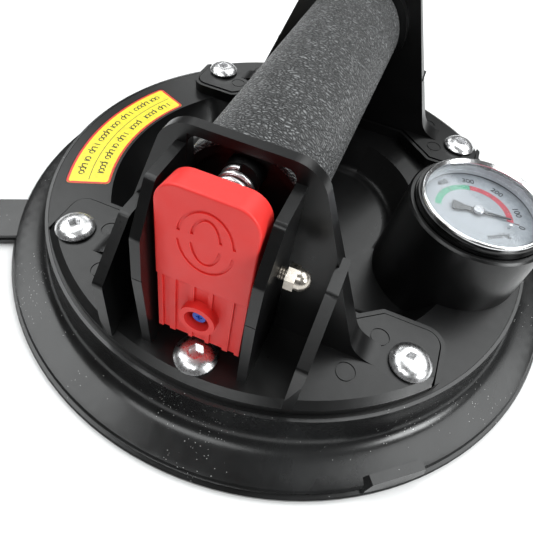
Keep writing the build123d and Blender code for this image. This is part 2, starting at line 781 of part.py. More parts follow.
def barrel_end_cap():
    """The fluted screw cap that guides the plunger and closes the barrel."""
    cap = handle_bar(CAP_R, CAP_FRONT, CAP_REAR)
    cap = fillet(cap.edges().filter_by(GeomType.CIRCLE).sort_by(Axis.Y)[-1:], CAP_CORNER)
    for k in range(CAP_FLUTES):
        across_at, up_at = polar(CAP_R + CAP_FLUTE_R / 2, 360 * k / CAP_FLUTES)
        flute = Pos(across_at, HANDLE_Z + up_at) * Circle(CAP_FLUTE_R)
        cap -= along(flute, CAP_FRONT, CAP_REAR - CAP_PLAIN)
    cap -= handle_bar(BARREL_R + HOLE_GAP, CAP_FRONT, BARREL_REAR)
    return cap - handle_bar(PLUNGER_R + PLUNGER_FIT, CAP_FRONT, CAP_REAR)


def piston():
    """The piston, with the seal's groove and the exhaust port."""
    body = handle_bar(PISTON_R, PISTON_FRONT, PISTON_REAR)
    body -= handle_tube(PISTON_R, SEAL_R - SEAL_DEPTH, SEAL_FRONT, SEAL_REAR)
    body -= handle_bar(ROD_R, PISTON_REAR - ROD_SEAT, PISTON_REAR)
    port = Pos(0, HANDLE_Z - HEAD_PORT_DROP + EXHAUST_UP) * Circle(EXHAUST_PORT_R)
    return body - along(port, PISTON_FRONT, PISTON_REAR)


def piston_seal():
    """The ring that seals the piston in the bore."""
    return handle_tube(SEAL_R, SEAL_R - SEAL_DEPTH, SEAL_FRONT, SEAL_REAR)


def exhaust_valve():
    """The rubber flap on the piston's rear face."""
    flap = Pos(0, HANDLE_Z - HEAD_PORT_DROP + EXHAUST_UP) * Circle(EXHAUST_FLAP_R)
    return along(flap, PISTON_REAR, PISTON_REAR + VALVE_FLAP)


def plunger_rod():
    """The rod between the piston and the plunger."""
    return handle_bar(ROD_R, PISTON_REAR - ROD_SEAT, ROD_REAR)


def plunger_button():
    """The hollow plunger that the thumb pushes."""
    body = handle_bar(PLUNGER_R, PLUNGER_FRONT, PLUNGER_REAR)
    body = fillet(body.edges().filter_by(GeomType.CIRCLE).sort_by(Axis.Y)[-1:], PLUNGER_CORNER)
    body -= handle_bar(PLUNGER_R - PLUNGER_WALL, PLUNGER_FRONT, PLUNGER_REAR - PLUNGER_HEAD)
    body -= handle_bar(ROD_R, PLUNGER_REAR - PLUNGER_HEAD, ROD_REAR)
    return body - handle_tube(PLUNGER_R, PLUNGER_R - RING_DEPTH, RING_FRONT, RING_REAR)


def indicator_ring():
    """The red ring that shows when the vacuum has fallen."""
    return handle_tube(PLUNGER_R, PLUNGER_R - RING_DEPTH, RING_FRONT, RING_REAR)


def pump_spring():
    """The spring that pushes the piston back out."""
    start = PUMP_HEAD_BACK + 2 * PUMP_SPRING_WIRE
    length = PISTON_FRONT - PUMP_SPRING_WIRE - start
    return coil((0, start, HANDLE_Z), length, PUMP_SPRING_R, PUMP_SPRING_WIRE, PUMP_SPRING_TURNS)


# ---------------------------------------------------------------- release lever and valve


def ring_mark(centre_x, centre_up, half_x, half_up):
    """One broken oval line sunk into the lever's face."""
    band = Ellipse(half_x, half_up) - Ellipse(half_x - RING_MARK_WIDTH, half_up - RING_MARK_WIDTH)
    band -= Rectangle(3 * half_x, RING_MARK_GAP)
    face = Pos(centre_x, centre_up, PAD_FRONT - RING_MARK_DEPTH) * band
    return LEVER_PLANE * extrude(face, amount=RING_MARK_DEPTH)


def lever_pad():
    """The thumb pad: a thick block with round top corners and soft edges."""
    face = Pos(0, (PAD_LOW + PAD_HIGH) / 2) * Rectangle(2 * PAD_HALF, PAD_HIGH - PAD_LOW)
    face = rounded(face, PAD_CORNER, (-PAD_HALF, PAD_HIGH), (PAD_HALF, PAD_HIGH))
    block = extrude(Pos(0, 0, PAD_BACK) * face, amount=PAD_FRONT - PAD_BACK)
    front_edges = block.faces().sort_by(Axis.Z)[-1].edges()
    return LEVER_PLANE * fillet(front_edges, PAD_EDGE)


def release_lever():
    """The red lever: pad, ribbed skirt, hub, valve boss and spring spigot."""
    lever = lever_pad()
    top = PAD_LOW + PAD_EDGE
    lever += lever_block(SKIRT_HALF, SKIRT_LOW - SKIRT_DROP, top, SKIRT_BACK, SKIRT_FRONT)
    for side in (-1, 1):
        for place, width in SKIRT_RIBS:
            lever += lever_block(width / 2, SKIRT_LOW, top, SKIRT_FRONT, SKIRT_RIB_FRONT, side * place)
    lever += lever_bar(VALVE_BOSS_R, SKIRT_BACK, VALVE_BOSS_FRONT)
    lever += across(Pos(PIVOT_Y, PIVOT_Z) * Circle(LEVER_HUB_R), -SKIRT_HALF, SKIRT_HALF)
    lever += along(Pos(0, LEVER_SPRING_Z) * Circle(SPIGOT_R), PIVOT_Y, LEVER_SPRING_FRONT + SPIGOT_LENGTH)
    for mark in RING_MARKS:
        lever -= ring_mark(*mark)
    lever -= lever_bar(VALVE_HOLE_R, VALVE_HOLE_FLOOR, VALVE_BOSS_FRONT)
    lever -= lever_bar(VALVE_THROUGH_R, SKIRT_BACK, VALVE_HOLE_FLOOR)
    return lever - across(Pos(PIVOT_Y, PIVOT_Z) * Circle(PIVOT_R + PIVOT_FIT), -PAD_HALF, PAD_HALF)


def valve_plug():
    """The blue plug that shuts the nozzle, with a cross slot in its nose."""
    plug = lever_bar(PLUG_R, PLUG_BACK, PLUG_STEP) + lever_bar(PLUG_NOSE_R, PLUG_STEP, PLUG_FRONT)
    floor = PLUG_FRONT - PLUG_SLOT
    for wide, tall in ((PLUG_SLOT, PLUG_NOSE_R), (PLUG_NOSE_R, PLUG_SLOT)):
        plug -= lever_block(wide / 2, VALVE_UP - tall / 2, VALVE_UP + tall / 2, floor, PLUG_FRONT)
    return plug


def valve_nozzle():
    """The brass nozzle that the plug shuts."""
    return lever_bar(NOZZLE_R, NOZZLE_IN, NOZZLE_TIP) - lever_bar(NOZZLE_BORE, NOZZLE_IN, NOZZLE_TIP)


def valve_block():
    """The block that joins the pump, the cup and the release nozzle."""
    face = outline(
        (FRONT_FACE, FOOT_TOP), (FRONT_FACE, BLOCK_TOP), (BLOCK_FRONT, BLOCK_TOP), (BLOCK_FRONT, FOOT_TOP)
    )
    block = across(face, -BLOCK_HALF, BLOCK_HALF)
    block -= upright(Pos(0, PORT_Y) * Circle(PORT_R), FOOT_TOP, BLOCK_TOP)
    return block - lever_bar(NOZZLE_R + HOLE_GAP, NOZZLE_IN, NOZZLE_TIP)


def air_elbow():
    """The short bent pipe from the pump head down to the valve block."""
    up = HANDLE_Z - HEAD_PORT_DROP
    ends = ((0, PUMP_HEAD_FRONT, up), (0, PORT_Y, up), (0, PORT_Y, BLOCK_TOP))
    route = FilletPolyline(*ends, radius=ELBOW_BEND)
    section = Plane(origin=(0, PUMP_HEAD_FRONT, up), z_dir=(0, -1, 0)) * ring(ELBOW_R, ELBOW_R / 2)
    return sweep(section, route)


def lever_pivot_bolt():
    """The M3 bolt that the lever turns on."""
    bolt = across(Pos(PIVOT_Y, PIVOT_Z) * Circle(PIVOT_R), -EAR_OUT, NUT_OUT)
    head = across(Pos(PIVOT_Y, PIVOT_Z) * Circle(BOLT_HEAD_R), -EAR_OUT - BOLT_HEAD, -EAR_OUT)
    head = fillet(head.edges().filter_by(GeomType.CIRCLE).sort_by(Axis.X)[:1], BOLT_HEAD / 2)
    socket = Pos(PIVOT_Y, PIVOT_Z) * RegularPolygon(BOLT_SOCKET_AF / 2, 6, major_radius=False)
    outer = -EAR_OUT - BOLT_HEAD
    return bolt + head - across(socket, outer, outer + BOLT_SOCKET_DEPTH)


def lever_acorn_nut():
    """The domed nut on the pivot bolt."""
    hexagon = Pos(PIVOT_Y, PIVOT_Z) * Rot(0, 0, NUT_TURN) * RegularPolygon(NUT_AF / 2, 6, major_radius=False)
    nut = across(hexagon, NUT_IN, NUT_OUT) + Pos(NUT_CROWN, PIVOT_Y, PIVOT_Z) * Sphere(NUT_DOME)
    nut += across(Pos(PIVOT_Y, PIVOT_Z) * Circle(NUT_DOME), NUT_OUT, NUT_CROWN)
    return nut - across(Pos(PIVOT_Y, PIVOT_Z) * Circle(PIVOT_R + HOLE_GAP), NUT_IN, NUT_OUT)


def lever_spring():
    """The spring that holds the lever shut."""
    length = LEVER_SPRING_BACK - LEVER_SPRING_FRONT
    start = (0, LEVER_SPRING_FRONT, LEVER_SPRING_Z)
    return coil(start, length, LEVER_SPRING_R, LEVER_SPRING_WIRE, LEVER_SPRING_TURNS)


# ---------------------------------------------------------------- vacuum gauge


def gauge_housing(plate):
    """The tapered round housing that stands on the deck and reaches down into the bowl."""
    height = HOUSING_TOP - BOWL_FLOOR_Z
    align = (Align.CENTER, Align.CENTER, Align.MIN)
    shell = Pos(0, 0, BOWL_FLOOR_Z) * Cone(HOUSING_FOOT_R, HOUSING_TOP_R, height, align=align)
    shell = chamfer(shell.edges().filter_by(GeomType.CIRCLE).sort_by(Axis.Z)[-1:], HOUSING_CHAMFER)
    shell -= upright(Circle(HOUSING_BORE_R), DECK_Z + HOUSING_FLOOR, HOUSING_TOP)
    shell -= upright(Circle(HOUSING_BORE_R), BOWL_FLOOR_Z, DECK_Z)
    shell -= upright(Circle(STEM_R + HOLE_GAP), DECK_Z, DECK_Z + HOUSING_FLOOR)
    standing = gauge_at(shell) - plate
    return standing.solids().sort_by(SortBy.VOLUME)[-1]


def gauge_case():
    """The metal can of the gauge, open at the top, with the dial's ledge."""
    inner = CASE_R - CASE_WALL
    case = upright(Circle(CASE_R), CASE_LOW, CASE_TOP)
    case -= upright(Circle(inner), CASE_LOW + CASE_WALL, CASE_TOP)
    rim_in, rim_out = CASE_RIM
    case += upright(ring(rim_out, rim_in), CASE_TOP, CASE_RIM_TOP)
    case += upright(ring(inner, inner - LEDGE_WIDTH), LEDGE_LOW, LEDGE_TOP)
    return gauge_at(case - upright(Circle(STEM_R + HOLE_GAP), CASE_LOW, CASE_LOW + CASE_WALL))


def gauge_bezel():
    """The bright ring that clamps the glass."""
    low = CASE_TOP
    start = (BEZEL_R - BEZEL_ROUND, BEZEL_TOP)
    end = (BEZEL_R, BEZEL_TOP - BEZEL_ROUND)
    sides = Polyline(
        start, (BEZEL_LIP_R, LENS_TOP + BEZEL_LIP), (BEZEL_LIP_R, LENS_TOP), (BEZEL_SEAT_R, LENS_TOP),
        (BEZEL_SEAT_R, low), (BEZEL_R, low), end,
    )
    shoulder = RadiusArc(end, start, -BEZEL_ROUND)
    return gauge_at(turned(make_face(sides + shoulder)))


def gauge_lens():
    """The flat glass."""
    lens = upright(Circle(LENS_R), LENS_LOW, LENS_TOP)
    return gauge_at(lens)


def gauge_dial():
    """The dial plate, with a hole for the arbor."""
    hole = Circle(ARBOR_R + 4 * HOLE_GAP) + Pos(*polar(*STOP_PIN_AT)) * Circle(STOP_PIN_R)
    return gauge_at(upright(Circle(DIAL_R) - hole, LEDGE_TOP, LEDGE_TOP + DIAL_THICK))


def dial_gasket():
    """The thin black ring between the dial and the spacer."""
    low = LEDGE_TOP + DIAL_THICK
    return gauge_at(upright(ring(DIAL_R, GASKET_R), low, low + GASKET_THICK))


def dial_spacer():
    """The white ring that holds the glass off the dial."""
    return gauge_at(upright(ring(DIAL_R, SPACER_R), LEDGE_TOP + DIAL_THICK + GASKET_THICK, LENS_LOW))


def gauge_stop_pin():
    """The pin that stops the pointer at zero."""
    return gauge_at(upright(Pos(*polar(*STOP_PIN_AT)) * Circle(STOP_PIN_R), LEDGE_TOP, STOP_PIN_TOP))


def gauge_needle():
    """The pointer, with its counterweight, lying towards zero."""
    edge = ((0, NEEDLE_ROOT_HALF), *NEEDLE_TIP)
    blade = outline(*edge, *((x, -y) for x, y in reversed(edge[:-1])))
    tail = outline(*NEEDLE_WEIGHT, *((x, -y) for x, y in reversed(NEEDLE_WEIGHT)))
    end_x, end_y = NEEDLE_WEIGHT[-1]
    tail = rounded(tail, NEEDLE_CORNER, (end_x, end_y), (end_x, -end_y))
    flat = blade + tail + Circle(HUB_R) - Circle(ARBOR_R)
    return gauge_at(Rot(0, 0, NEEDLE_ANGLE) * upright(flat, NEEDLE_LOW, NEEDLE_LOW + NEEDLE_THICK))


def gear_plan(teeth, first, last):
    """Gear teeth on their body, between two tooth numbers; slack flanks leave backlash."""
    pitch_r = GEAR_MODULE * teeth / 2
    tip = pitch_r + TOOTH_TIP * GEAR_MODULE
    root = pitch_r - TOOTH_ROOT * GEAR_MODULE
    step = 360 / teeth
    wide, narrow = TOOTH_SHARES
    base = root - 2 * HOLE_GAP
    at = ((base, -wide), (base, wide), (tip, narrow), (tip, -narrow))
    wheel = Sketch()
    for k in range(first, last):
        wheel += outline(*(polar(r, step * (k + share)) for r, share in at))
    return wheel, root


def gauge_arbor():
    """The pointer's shaft, with the pinion below and the hub cap above."""
    teeth, root = gear_plan(PINION_TEETH, 0, PINION_TEETH)
    shaft = upright(Circle(ARBOR_R), GEAR_LOW - ARBOR_OVERHANG, HUB_TOP)
    pinion = upright(teeth + Circle(root), GEAR_LOW, GEAR_TOP)
    cap = upright(Circle(HUB_R), NEEDLE_LOW + NEEDLE_THICK, HUB_TOP)
    cap = fillet(cap.edges().filter_by(GeomType.CIRCLE).sort_by(Axis.Z)[-1:], HUB_EDGE)
    mesh_turn = SECTOR_ANGLE + 180 / PINION_TEETH
    return gauge_at(Rot(0, 0, mesh_turn) * (shaft + pinion) + cap)


def sector_pivot():
    """Centre of the sector's pivot, measured from the gauge's axis."""
    return polar(GEAR_MODULE * (PINION_TEETH + SECTOR_TEETH) / 2, SECTOR_ANGLE)


def gauge_sector():
    """The toothed sector that the tube's tip turns, and that turns the pinion."""
    step = 360 / SECTOR_TEETH
    first = round(SECTOR_FROM / step)
    last = round(SECTOR_TO / step)
    teeth, root = gear_plan(SECTOR_TEETH, first, last)
    fan = sector(FAN_INNER_R, root, SECTOR_FROM, SECTOR_TO - step / 2)
    plan = teeth + fan + Circle(PIVOT_HUB_R) - Circle(PIVOT_PIN_R + HOLE_GAP)
    x, y = sector_pivot()
    return gauge_at(Pos(x, y, 0) * Rot(0, 0, SECTOR_ANGLE + 180) * upright(plan, GEAR_LOW, GEAR_TOP))


def movement_plate():
    """The plate that carries the arbor's bearing and the sector's pin."""
    x, y = sector_pivot()
    disc = Circle(CASE_R - CASE_WALL - HOLE_GAP) - Circle(ARBOR_R + HOLE_GAP)
    plate = upright(disc, MOVEMENT_LOW, MOVEMENT_TOP)
    pin = upright(Pos(x, y) * Circle(PIVOT_PIN_R), GEAR_LOW - ARBOR_OVERHANG, MOVEMENT_LOW)
    return gauge_at(plate + pin)


def bourdon_tube():
    """The curved flat tube whose free end moves with the vacuum."""
    plan = sector(BOURDON_IN, BOURDON_OUT, BOURDON_START, BOURDON_END)
    return gauge_at(upright(plan, BOURDON_LOW, BOURDON_TOP))


def gauge_stem():
    """The threaded stem and the block that holds the tube's fixed end."""
    arm = Rot(0, 0, BOURDON_START) * Pos(BOURDON_IN / 2, 0) * Rectangle(BOURDON_IN, STEM_ARM)
    stem = upright(Circle(STEM_R), DECK_Z, BOURDON_TOP)
    stem += upright(arm - ring(3 * CASE_R, BOURDON_IN), BOURDON_LOW, BOURDON_TOP)
    stem += upright(Circle(STEM_THREAD_R), STEM_LOW, DECK_Z)
    return gauge_at(stem - upright(Circle(NOZZLE_BORE), STEM_LOW, BOURDON_TOP - STEM_BORE_END))


# ---------------------------------------------------------------- write every sub-part


def main():
    """Build and write each sub-part."""
    plate = base_plate()
    save(plate, "base_plate")
    save(gauge_housing(plate), "gauge_housing")
    makers = (
        rubber_pad, caution_label, port_oring, filter_disc, foot_screws, foot_inserts, front_leg, rear_leg,
        grip_sleeve, pump_barrel, pump_head, inlet_valve, barrel_end_cap, piston, piston_seal, exhaust_valve,
        plunger_rod, plunger_button, indicator_ring, pump_spring, release_lever, valve_plug, valve_nozzle,
        valve_block, air_elbow, lever_pivot_bolt, lever_acorn_nut, lever_spring, gauge_case, gauge_bezel,
        gauge_lens, gauge_dial, dial_gasket, dial_spacer, gauge_stop_pin, gauge_needle, gauge_arbor,
        gauge_sector, movement_plate, bourdon_tube, gauge_stem,
    )
    for maker in makers:
        save(maker(), maker.__name__)


main()
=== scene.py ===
"""Looks of the hand vacuum lifter: materials, print, small fittings, floor, lights and camera."""

import json
from math import cos, pi, radians, sin

import bmesh
import bpy
from mathutils import Matrix, Vector

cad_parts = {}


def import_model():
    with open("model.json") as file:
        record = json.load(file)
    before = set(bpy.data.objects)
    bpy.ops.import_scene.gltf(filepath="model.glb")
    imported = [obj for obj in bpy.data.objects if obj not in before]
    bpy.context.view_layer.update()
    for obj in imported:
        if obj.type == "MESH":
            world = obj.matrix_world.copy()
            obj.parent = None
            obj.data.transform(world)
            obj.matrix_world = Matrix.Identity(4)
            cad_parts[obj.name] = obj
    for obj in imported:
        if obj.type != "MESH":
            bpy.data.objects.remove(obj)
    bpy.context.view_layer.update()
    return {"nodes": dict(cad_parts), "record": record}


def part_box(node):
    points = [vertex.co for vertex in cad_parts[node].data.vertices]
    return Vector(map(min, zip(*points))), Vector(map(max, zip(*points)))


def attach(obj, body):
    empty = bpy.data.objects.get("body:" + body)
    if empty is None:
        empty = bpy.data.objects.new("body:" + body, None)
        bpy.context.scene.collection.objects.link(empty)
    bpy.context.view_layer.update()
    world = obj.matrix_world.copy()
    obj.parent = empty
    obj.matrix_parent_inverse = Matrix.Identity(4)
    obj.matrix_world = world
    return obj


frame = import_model()
NODES = frame["nodes"]
MM = 0.001


# ---------------------------------------------------------------- node helpers


class Look:
    """One procedural material, built node by node around a Principled shader."""

    def __init__(self, name, colour, rough, **sockets):
        self.mat = bpy.data.materials.new(name)
        self.mat.use_nodes = True
        self.tree = self.mat.node_tree
        self.shader = self.tree.nodes["Principled BSDF"]
        self.shader.inputs["Base Color"].default_value = (*colour, 1)
        self.shader.inputs["Roughness"].default_value = rough
        for key, value in sockets.items():
            self.shader.inputs[key.replace("_", " ")].default_value = value
        self.place = self.node("ShaderNodeTexCoord").outputs["Object"]

    def node(self, kind, **settings):
        made = self.tree.nodes.new(kind)
        for key, value in settings.items():
            setattr(made, key, value)
        return made

    def link(self, source, target):
        self.tree.links.new(source, target)

    def stretched(self, scale):
        """The object's own coordinates, scaled by axis."""
        mapping = self.node("ShaderNodeMapping")
        mapping.inputs["Scale"].default_value = scale
        self.link(self.place, mapping.inputs["Vector"])
        return mapping.outputs["Vector"]

    def noise(self, scale, detail=3.0, rough=0.55, vector=None, distortion=0.0):
        made = self.node("ShaderNodeTexNoise")
        made.inputs["Scale"].default_value = scale
        made.inputs["Detail"].default_value = detail
        made.inputs["Roughness"].default_value = rough
        made.inputs["Distortion"].default_value = distortion
        self.link(vector or self.place, made.inputs["Vector"])
        return made.outputs["Fac"]

    def cells(self, scale, feature="F1", vector=None, output="Distance"):
        made = self.node("ShaderNodeTexVoronoi", feature=feature)
        made.inputs["Scale"].default_value = scale
        self.link(vector or self.place, made.inputs["Vector"])
        return made.outputs[output]

    def span(self, value, low, high, to_low, to_high):
        """Map a number from one range to another, clamped."""
        made = self.node("ShaderNodeMapRange")
        self.link(value, made.inputs["Value"])
        for key, number in (("From Min", low), ("From Max", high), ("To Min", to_low), ("To Max", to_high)):
            made.inputs[key].default_value = number
        return made.outputs["Result"]

    def math(self, operation, a, b=0.0):
        made = self.node("ShaderNodeMath", operation=operation)
        for socket, value in zip(made.inputs, (a, b)):
            if isinstance(value, (int, float)):
                socket.default_value = value
            else:
                self.link(value, socket)
        return made.outputs[0]

    def blend(self, share, first, second):
        """A colour between two others."""
        made = self.node("ShaderNodeMix", data_type="RGBA")
        self.link(share, made.inputs["Factor"])
        for socket, value in ((made.inputs[6], first), (made.inputs[7], second)):
            if isinstance(value, tuple):
                socket.default_value = (*value, 1)
            else:
                self.link(value, socket)
        return made.outputs[2]

    def colour(self, output):
        self.link(output, self.shader.inputs["Base Color"])

    def rough(self, output):
        self.link(output, self.shader.inputs["Roughness"])

    def bump(self, height, distance, strength=1.0):
        """Add a bump over what the normal already has."""
        made = self.node("ShaderNodeBump")
        made.inputs["Distance"].default_value = distance
        made.inputs["Strength"].default_value = strength
        self.link(height, made.inputs["Height"])
        normal = self.shader.inputs["Normal"]
        if normal.is_linked:
            self.link(normal.links[0].from_socket, made.inputs["Normal"])
        self.link(made.outputs["Normal"], normal)


# ---------------------------------------------------------------- materials


def moulded_black(name, tone=0.0035, gloss=0.3, grain=0.25):
    """Satin black moulded plastic with fine grain and faint flow marks."""
    look = Look(name, (tone, tone, tone * 1.05), gloss, Specular_IOR_Level=0.4)
    flow = look.noise(26, 4, 0.6, look.stretched((1, 0.35, 1)), 1.2)
    fine = look.noise(1500, 2)
    dark = (tone * 0.75, tone * 0.75, tone * 0.75)
    pale = (tone * 1.3, tone * 1.3, tone * 1.38)
    look.colour(look.blend(look.span(flow, 0.3, 0.7, 0, 1), dark, pale))
    scuff = look.noise(420, 3, 0.7)
    mixed = look.math("ADD", look.math("MULTIPLY", flow, 0.16), look.math("MULTIPLY", scuff, 0.12))
    look.rough(look.span(mixed, 0.06, 0.22, gloss - 0.07, gloss + 0.09))
    look.bump(fine, 0.00005, grain)
    return look.mat


DUST_LAYERS = ((620, 0.09, 0.42), (1250, 0.14, 0.5))
DUST_PATCHES = (0.5, 0.66)
DUST_COLOUR = (0.5, 0.5, 0.49)


def dust(look, base):
    """Colour the look with fine pale specks, gathered in patches over a base."""
    patches = look.span(look.noise(38, 3), *DUST_PATCHES, 0, 1)
    total = None
    for scale, size, keep in DUST_LAYERS:
        near = look.math("LESS_THAN", look.cells(scale), size)
        pick = look.node("ShaderNodeSeparateColor")
        look.link(look.cells(scale, output="Color"), pick.inputs[0])
        chance = look.math("ADD", pick.outputs[0], look.math("MULTIPLY", patches, 0.5))
        chosen = look.math("GREATER_THAN", chance, 1.5 - keep)
        spot = look.math("MULTIPLY", near, chosen)
        total = spot if total is None else look.math("MAXIMUM", total, spot)
    look.colour(look.blend(total, base, DUST_COLOUR))


def pad_rubber():
    """Glossy dark rubber with soft wipe marks and specks of dust."""
    look = Look("pad_rubber", (0.008, 0.008, 0.008), 0.3, Specular_IOR_Level=0.55)
    bloom = look.noise(30, 5, 0.62)
    base = look.blend(look.span(bloom, 0.35, 0.7, 0, 1), (0.005, 0.005, 0.005), (0.014, 0.0145, 0.015))
    dust(look, base)
    wipes = look.noise(60, 4, 0.6, look.stretched((1, 0.3, 1)), 2.0)
    look.rough(look.span(look.math("ADD", bloom, wipes), 0.7, 1.4, 0.2, 0.31))
    look.bump(look.noise(900, 3), 0.00003, 0.3)
    look.bump(look.noise(45, 2), 0.0003, 0.12)
    return look.mat


def grip_rubber():
    """Soft grip with a pebbled leather grain: small long cushions between fine creases, with painted shade
    colouring the creases near black.
    """
    look = Look("grip_grain_with_crease_shade", (0.06, 0.06, 0.062), 0.42, Specular_IOR_Level=0.7)
    warped = look.node("ShaderNodeVectorMath", operation="ADD")
    drift = look.node("ShaderNodeTexNoise")
    drift.inputs["Scale"].default_value = 230
    drift.inputs["Detail"].default_value = 3
    look.link(look.place, drift.inputs["Vector"])
    small = look.node("ShaderNodeVectorMath", operation="SCALE")
    small.inputs["Scale"].default_value = 0.0035
    look.link(drift.outputs["Color"], small.inputs[0])
    look.link(look.stretched((0.62, 1.15, 0.62)), warped.inputs[0])
    look.link(small.outputs["Vector"], warped.inputs[1])
    crease = look.cells(1150, "DISTANCE_TO_EDGE", warped.outputs["Vector"])
    pebble_and_crease_shade = look.span(crease, 0.0, 0.34, 0, 1)
    worn = look.span(look.noise(45, 4, 0.6), 0.35, 0.7, 0, 1)
    crown = look.blend(worn, (0.2, 0.205, 0.208), (0.26, 0.267, 0.27))
    # painted shade: the creases are coloured near black and the cushion tops grey; the same mask also sets
    # roughness and bump
    look.colour(look.blend(pebble_and_crease_shade, (0.004, 0.004, 0.0045), crown))
    look.rough(look.span(pebble_and_crease_shade, 0, 1, 0.55, 0.34))
    look.bump(pebble_and_crease_shade, 0.0006, 1.0)
    look.bump(look.noise(3800, 2), 0.00004, 0.4)
    return look.mat


def coloured_plastic(name, colour, deep, rough=0.4):
    """Moulded coloured plastic with a fine grain."""
    look = Look(name, colour, rough, Specular_IOR_Level=0.5)
    cloud = look.noise(60, 4)
    look.colour(look.blend(look.span(cloud, 0.3, 0.7, 0, 1), deep, colour))
    look.rough(look.span(look.noise(300, 3), 0.3, 0.7, rough - 0.06, rough + 0.08))
    look.bump(look.noise(1700, 2), 0.00004, 0.25)
    return look.mat


def metal(name, colour, rough, streak=0.05):
    """Plated or drawn metal with faint polishing marks."""
    look = Look(name, colour, rough, Metallic=1.0)
    marks = look.noise(900, 3, 0.6, look.stretched((1, 1, 0.2)))
    look.rough(look.span(marks, 0.3, 0.7, max(rough - streak, 0.03), rough + streak))
    tint = look.noise(120, 3)
    dull = tuple(part * 0.86 for part in colour)
    look.colour(look.blend(look.span(tint, 0.35, 0.65, 0, 1), dull, colour))
    look.bump(marks, 0.00002, 0.25)
    return look.mat


def sintered_bronze():
    """Pressed bronze grains."""
    look = Look("sintered_bronze", (0.5, 0.3, 0.14), 0.5, Metallic=1.0)
    grains = look.cells(2600)
    look.colour(look.blend(look.span(grains, 0.1, 0.6, 0, 1), (0.62, 0.4, 0.2), (0.22, 0.12, 0.06)))
    look.bump(grains, -0.0002, 0.8)
    return look.mat


def printed(name, colour, rough=0.45):
    """Ink or film: a flat colour with slight mottling."""
    look = Look(name, colour, rough)
    mottle = look.noise(700, 3)
    lighter = tuple(min(part * 1.08, 1) for part in colour)
    darker = tuple(part * 0.9 for part in colour)
    look.colour(look.blend(look.span(mottle, 0.35, 0.65, 0, 1), darker, lighter))
    look.rough(look.span(mottle, 0.3, 0.7, rough - 0.05, rough + 0.05))
    return look.mat


def seal_rubber():
    """Dull seal rubber."""
    look = Look("seal_rubber", (0.02, 0.02, 0.02), 0.6)
    mottle = look.noise(500, 3)
    look.rough(look.span(mottle, 0.3, 0.7, 0.5, 0.7))
    look.bump(mottle, 0.00003, 0.4)
    return look.mat


def clear_lens():
    """Thin clear plastic window: sees through, and mirrors a little at a slant."""
    look = Look("clear_lens", (1, 1, 1), 0.06)
    clear = look.node("ShaderNodeBsdfTransparent")
    clear.inputs["Color"].default_value = (0.97, 0.98, 0.985, 1)
    shine = look.node("ShaderNodeBsdfGlossy")
    look.link(look.span(look.noise(160, 3), 0.3, 0.7, 0.03, 0.09), shine.inputs["Roughness"])
    slant = look.node("ShaderNodeLayerWeight")
    slant.inputs["Blend"].default_value = 0.5
    steep = look.math("POWER", slant.outputs["Facing"], 4.0)
    share = look.span(steep, 0.0, 1.0, 0.015, 0.6)
    mix = look.node("ShaderNodeMixShader")
    look.link(share, mix.inputs["Fac"])
    look.link(clear.outputs["BSDF"], mix.inputs[1])
    look.link(shine.outputs["BSDF"], mix.inputs[2])
    look.link(mix.outputs["Shader"], look.tree.nodes["Material Output"].inputs["Surface"])
    look.tree.nodes.remove(look.shader)
    return look.mat


LOOKS = {
    "black_rubber": pad_rubber(),
    "black_plastic": moulded_black("moulded_black"),
    "grip_rubber": grip_rubber(),
    "red_plastic": coloured_plastic("coral_red", (0.86, 0.036, 0.03), (0.80, 0.03, 0.026), 0.45),
    "blue_plastic": coloured_plastic("bright_blue", (0.02, 0.11, 0.62), (0.015, 0.08, 0.5)),
    "steel": metal("bright_steel", (0.88, 0.88, 0.89), 0.3),
    "chrome": metal("polished_plating", (0.95, 0.95, 0.96), 0.2, 0.05),
    "brass": metal("brass", (0.78, 0.58, 0.28), 0.26),
    "aluminium": metal("aluminium", (0.78, 0.78, 0.79), 0.3),
    "bronze_filter": sintered_bronze(),
    "glass": clear_lens(),
    "dial_white": printed("dial_face", (0.36, 0.38, 0.41), 0.4),
    "spacer_white": printed("spacer_ring", (0.6, 0.61, 0.64), 0.45),
    "needle_grey": printed("needle_paint", (0.1, 0.103, 0.108), 0.6),
    "nickel": metal("warm_nickel", (0.66, 0.61, 0.54), 0.3, 0.08),
    "hub_metal": metal("hub_metal", (0.5, 0.5, 0.52), 0.3, 0.05),
    "screw_plating": metal("screw_plating", (0.93, 0.93, 0.94), 0.28, 0.05),
    "gauge_black": moulded_black("gauge_black", 0.003, 0.22, 0.2),
    "label_yellow": printed("label_film", (0.96, 0.80, 0.045), 0.35),
    "seal_rubber": seal_rubber(),
}
INK_RED = printed("ink_red", (0.72, 0.04, 0.03), 0.35)
INK_DARK = printed("ink_dark", (0.012, 0.012, 0.012), 0.5)
BAND_RED = printed("band_red", (0.5, 0.075, 0.1), 0.4)
BAND_GREEN = printed("band_green", (0.09, 0.34, 0.22), 0.4)
BAND_LINE = printed("band_line", (0.16, 0.1, 0.1), 0.5)

SLOT_OF = {row["node"]: row["material_slot"] for row in frame["record"]["subparts"]}
SLOT_OF["foot_screws"] = "screw_plating"
SLOT_OF["lever_acorn_nut"] = "nickel"
SLOT_OF["lever_pivot_bolt"] = "nickel"
SLOT_OF["gauge_arbor"] = "hub_metal"
for node_name, node in NODES.items():
    node.data.materials.clear()
    node.data.materials.append(LOOKS[SLOT_OF[node_name]])


# ---------------------------------------------------------------- soft edges on the CAD nodes


WELD_GAP = 0.000002
SHARP_ANGLE = radians(28)


def soften(node_name, width):
    """Round a node's sharp edges a little, as a mould does."""
    node = NODES[node_name]
    weld = node.modifiers.new("weld", "WELD")
    weld.merge_threshold = WELD_GAP
    bevel = node.modifiers.new("soft_edges", "BEVEL")
    bevel.width = width
    bevel.segments = 2
    bevel.limit_method = "ANGLE"
    bevel.angle_limit = SHARP_ANGLE
    bevel.use_clamp_overlap = True
    bevel.harden_normals = False
    bevel.miter_outer = "MITER_ARC"
    shade = node.modifiers.new("weighted", "WEIGHTED_NORMAL")
    shade.keep_sharp = True


